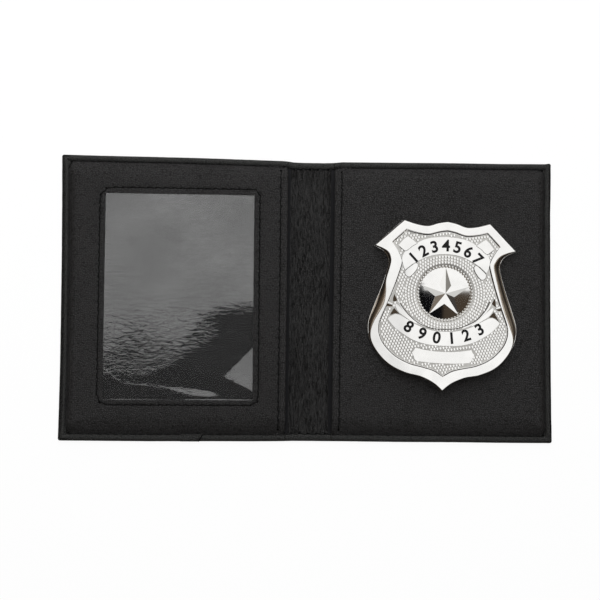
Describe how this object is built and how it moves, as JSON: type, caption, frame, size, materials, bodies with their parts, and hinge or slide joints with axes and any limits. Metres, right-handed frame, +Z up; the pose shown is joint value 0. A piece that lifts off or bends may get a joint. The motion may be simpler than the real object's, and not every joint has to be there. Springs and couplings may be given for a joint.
{
  "type": "badge wallet",
  "caption": "Bifold wallet of black leather, lying open: a window panel over a card pocket on the left, a domed metal shield badge on the right.",
  "frame": {"origin": "middle of the spine on the surface that the open wallet lies on", "axes": "+X along the open wallet towards the badge, +Y along the spine towards the top of the badge, +Z up out of the open wallet"},
  "size_m": [0.1924, 0.11, 0.0094],
  "materials": {
    "cover_leather": "fine grained black coated leather",
    "panel_leather": "fine grained black coated leather, soft sheen",
    "binding_tape": "smooth black coated tape",
    "spine_leather": "pebbled black lining with fold wrinkles",
    "lining_cloth": "thin black lining cloth",
    "foam": "grey foam sheet",
    "board": "grey-brown fibre board",
    "clear_film": "clear soft plastic film, glossy and a little wavy",
    "badge_plate": "bright plated, polished rim, sunk pebbled field",
    "fixing_metal": "plain brass"
  },
  "bodies": {
    "left_half": {"left_cover": "cover_leather", "left_padding": "foam", "left_board": "board", "left_lining": "lining_cloth", "window_film": "clear_film", "window_panel": "panel_leather", "left_binding": "binding_tape"},
    "spine": {"spine_cover": "cover_leather", "spine_lining": "spine_leather", "spine_binding": "binding_tape"},
    "right_half": {"right_cover": "cover_leather", "right_padding": "foam", "right_board": "board", "right_lining": "lining_cloth", "badge_panel": "panel_leather", "right_binding": "binding_tape", "badge": "badge_plate", "badge_studs": "fixing_metal", "stud_clips": "fixing_metal"}
  },
  "joints": [
    {"name": "left_fold", "type": "hinge", "parent": "left_half", "child": "spine", "pos_m": [-0.0075, 0, 0.0004], "axis": [0, -1, 0], "range_deg": [0, 90]},
    {"name": "right_fold", "type": "hinge", "parent": "spine", "child": "right_half", "pos_m": [0.0075, 0, 0.0004], "axis": [0, -1, 0], "range_deg": [0, 90]}
  ]
}
